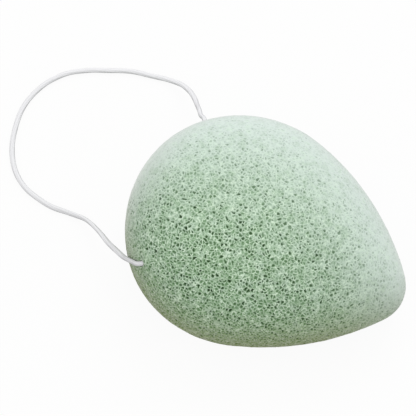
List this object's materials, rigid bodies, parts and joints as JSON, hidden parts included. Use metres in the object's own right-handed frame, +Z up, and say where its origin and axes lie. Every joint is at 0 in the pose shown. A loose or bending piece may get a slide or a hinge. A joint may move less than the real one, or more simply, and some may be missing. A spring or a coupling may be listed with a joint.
{
  "type": "konjac sponge",
  "caption": "Teardrop facial cleansing sponge of porous konjac foam, with a thin cotton cord threaded through its fat end as a hanging loop.",
  "frame": {"origin": "centre of the sponge's footprint box, on the surface that its underside lies on", "axes": "+X along the sponge from its round end to its tip, +Y to the side where the cord leaves the far mouth, +Z up"},
  "size_m": [0.1236, 0.0722, 0.035],
  "materials": {
    "konjac_foam": "matt pale green open-pored foam",
    "cotton_cord": "matt white twisted cotton"
  },
  "bodies": {
    "sponge": {"sponge_body": "konjac_foam"},
    "cord": {"hang_loop": "cotton_cord", "cord_lead_near": "cotton_cord", "cord_lead_far": "cotton_cord", "cord_knot": "cotton_cord"}
  },
  "joints": [
    {"name": "loop_swing", "type": "hinge", "parent": "sponge", "child": "cord", "pos_m": [-0.0275, 0, 0.0205], "axis": [-0.0863, 0.9865, -0.1392], "range_deg": [0, 160]}
  ]
}
